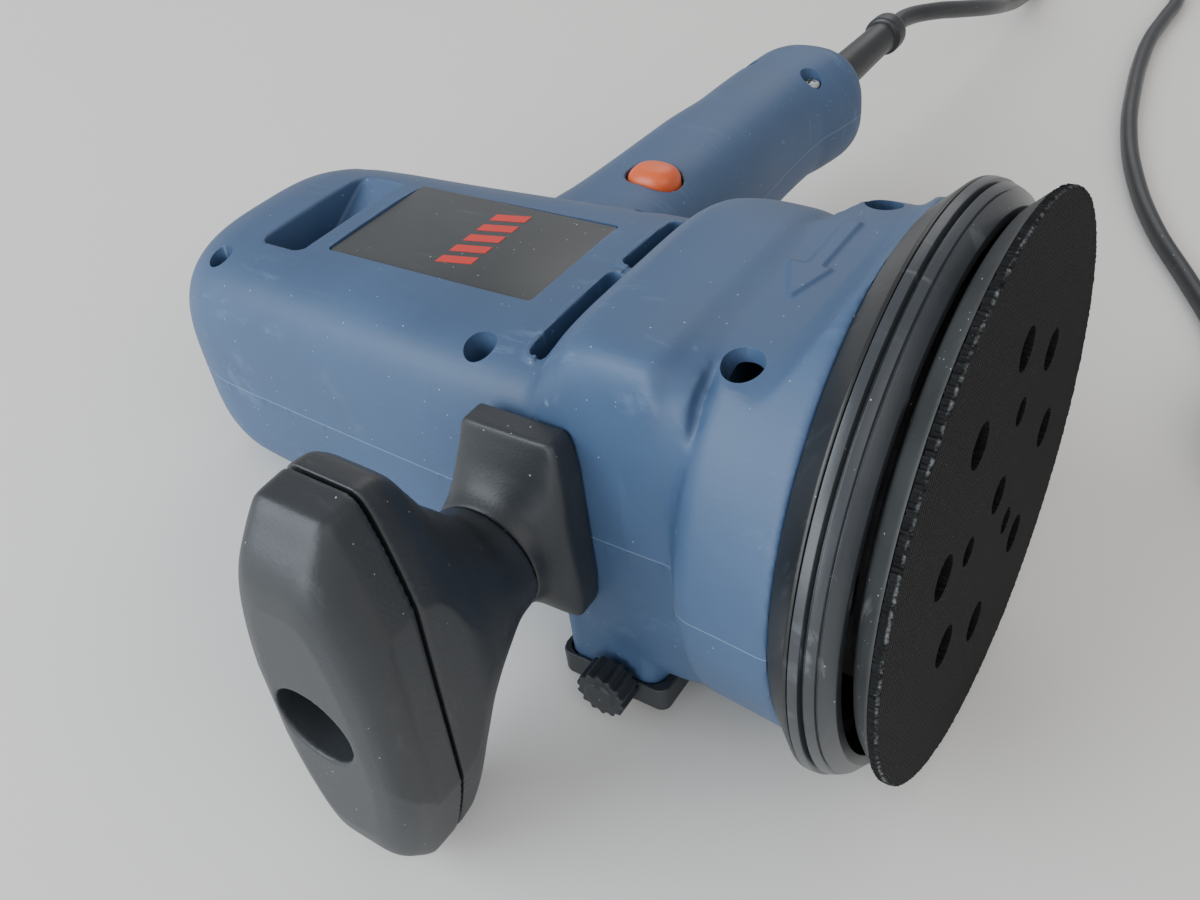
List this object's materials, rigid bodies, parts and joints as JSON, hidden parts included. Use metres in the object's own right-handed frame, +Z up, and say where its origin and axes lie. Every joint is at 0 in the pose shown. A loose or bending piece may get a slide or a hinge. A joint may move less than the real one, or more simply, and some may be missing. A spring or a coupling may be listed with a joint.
{
  "type": "dual action polisher",
  "caption": "Two-handed orbital polisher lying on its side: moulded blue housing, straight rear handle, T-shaped front grip, round hook pad and mains cord.",
  "frame": {"origin": "centre of the bounding box of the tool without its cord, on the surface it lies on", "axes": "+Z up from the surface, +X the horizontal direction of the spin axis towards the pad, +Y along the rear handle towards the cord"},
  "size_m": [0.3386, 0.5987, 0.1257],
  "materials": {
    "shell_blue": "finely textured blue-grey nylon, lightly scuffed",
    "label_satin": "satin dark label plate",
    "screw_steel": "zinc-plated steel",
    "bright_steel": "ground steel",
    "grip_black": "fine-grained charcoal plastic",
    "flange_black": "smooth black plastic",
    "bumper_rubber": "black moulded rubber",
    "pad_rubber": "worn black rubber",
    "hook_fabric": "black hook-and-loop weave",
    "lamination_iron": "steel laminations",
    "winding_copper": "enamelled copper",
    "pin_brass": "plain brass",
    "brush_carbon": "carbon",
    "inner_nylon": "dark nylon",
    "cast_aluminium": "die-cast aluminium",
    "button_orange": "satin orange plastic",
    "cord_black": "black cord sheath",
    "plug_black": "black moulded plug"
  },
  "bodies": {
    "housing": {"upper_shell": "shell_blue", "lower_shell": "shell_blue", "housing_screw_tail_left": "screw_steel", "housing_screw_tail_right": "screw_steel", "housing_screw_middle_left": "screw_steel", "housing_screw_middle_right": "screw_steel", "housing_screw_front_left": "screw_steel", "housing_screw_front_right": "screw_steel", "handle_screw_pad_side": "screw_steel", "handle_screw_tail_side": "screw_steel", "label_plate": "label_satin", "skirt_flange": "flange_black", "bumper_ring": "bumper_rubber", "stator_core": "lamination_iron", "field_coil_upper": "winding_copper", "field_coil_lower": "winding_copper", "brush_holder_left": "pin_brass", "carbon_brush_left": "brush_carbon", "brush_spring_left": "bright_steel", "brush_holder_right": "pin_brass", "carbon_brush_right": "brush_carbon", "brush_spring_right": "bright_steel", "rear_bearing": "bright_steel", "front_bearing": "bright_steel", "bearing_plate": "cast_aluminium", "fan_baffle": "inner_nylon", "grip_saddle": "grip_black", "grip_bolt": "screw_steel", "grip_nut": "pin_brass", "switch_body": "inner_nylon", "cord_guard": "cord_black", "cord_clamp": "inner_nylon", "clamp_screw_left": "screw_steel", "clamp_screw_right": "screw_steel", "dust_collar": "grip_black", "cord_run": "cord_black", "cord_coil": "cord_black", "cord_tie": "cord_black", "cord_tail": "cord_black", "plug_body": "plug_black", "plug_pin_left": "pin_brass", "plug_pin_right": "pin_brass"},
    "front_grip": {"grip_body": "grip_black", "grip_cap": "grip_black"},
    "rotor": {"armature_shaft": "bright_steel", "armature_core": "lamination_iron", "commutator": "winding_copper", "cooling_fan": "inner_nylon", "eccentric_hub": "cast_aluminium", "pad_bearing": "bright_steel"},
    "pad": {"backing_plate": "inner_nylon", "pad_cushion": "pad_rubber", "hook_face": "hook_fabric", "pad_screw_1": "screw_steel", "pad_screw_2": "screw_steel", "pad_screw_3": "screw_steel", "pad_spindle": "bright_steel"},
    "trigger": {"trigger": "grip_black"},
    "lock_button": {"lock_button": "button_orange"},
    "dust_knob": {"dust_knob": "grip_black"}
  },
  "joints": [
    {"name": "motor_spin", "type": "hinge", "parent": "housing", "child": "rotor", "pos_m": [0.09776, -0.06585, 0.06447], "axis": [0.986, 0, 0.1668], "continuous": true},
    {"name": "pad_spin", "type": "hinge", "parent": "rotor", "child": "pad", "pos_m": [0.09765, -0.06345, 0.06516], "axis": [0.986, 0, 0.1668], "continuous": true},
    {"name": "grip_turn", "type": "hinge", "parent": "housing", "child": "front_grip", "pos_m": [0.01494, -0.12585, 0.05047], "axis": [0, 1, 0], "range_deg": [-90, 90]},
    {"name": "trigger_pull", "type": "slide", "parent": "housing", "child": "trigger", "axis": [-0.986, 0, -0.1668], "range_m": [0, 0.0035], "stiffness_N_per_m": 300, "springref_m": -0.005},
    {"name": "lock_press", "type": "slide", "parent": "housing", "child": "lock_button", "axis": [0.1668, 0, -0.986], "range_m": [0, 0.002], "stiffness_N_per_m": 200, "springref_m": -0.004},
    {"name": "dust_knob_turn", "type": "hinge", "parent": "housing", "child": "dust_knob", "pos_m": [0.03848, -0.11385, 0.01023], "axis": [0, -1, 0], "range_deg": [0, 180]}
  ]
}
